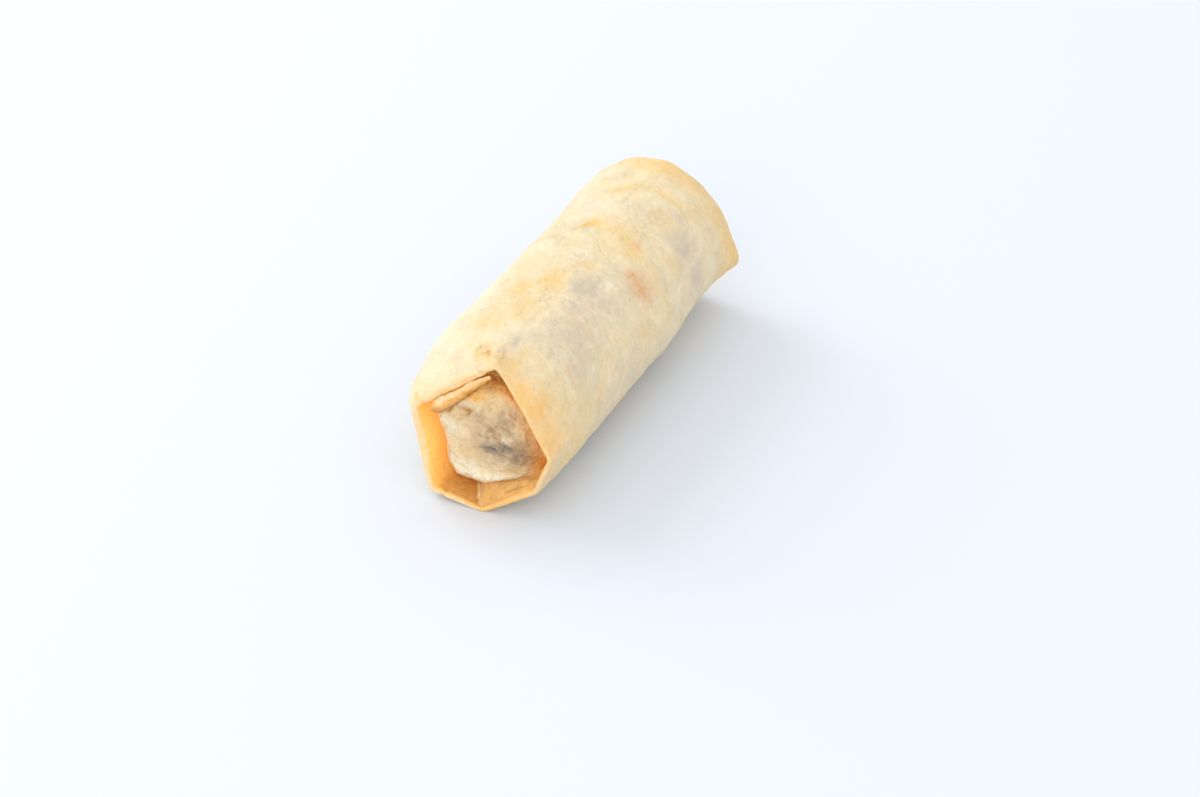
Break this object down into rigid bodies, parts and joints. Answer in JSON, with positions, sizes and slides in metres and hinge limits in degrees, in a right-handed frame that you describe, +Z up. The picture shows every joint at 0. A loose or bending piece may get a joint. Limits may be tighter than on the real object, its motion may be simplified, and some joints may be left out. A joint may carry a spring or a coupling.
{
  "type": "fried spring roll",
  "caption": "Small fried spring roll lying on its side, with folded cup-like ends round the wrapped filling and the free edge of its wrapper stepping down round the body.",
  "frame": {"origin": "middle of the base of the bounding box, on the surface that the roll lies on", "axes": "+Y runs along the roll from its open cup-like end to the other end, +Z is up, +X is to the right seen from the -Y end"},
  "size_m": [0.0304, 0.0766, 0.0258],
  "materials": {
    "fried_pastry": "thin pale gold fried pastry, blistered, half sheen from the oil, browner at folds and free edges"
  },
  "bodies": {
    "root": {"spring_roll": "fried_pastry"}
  },
  "joints": []
}
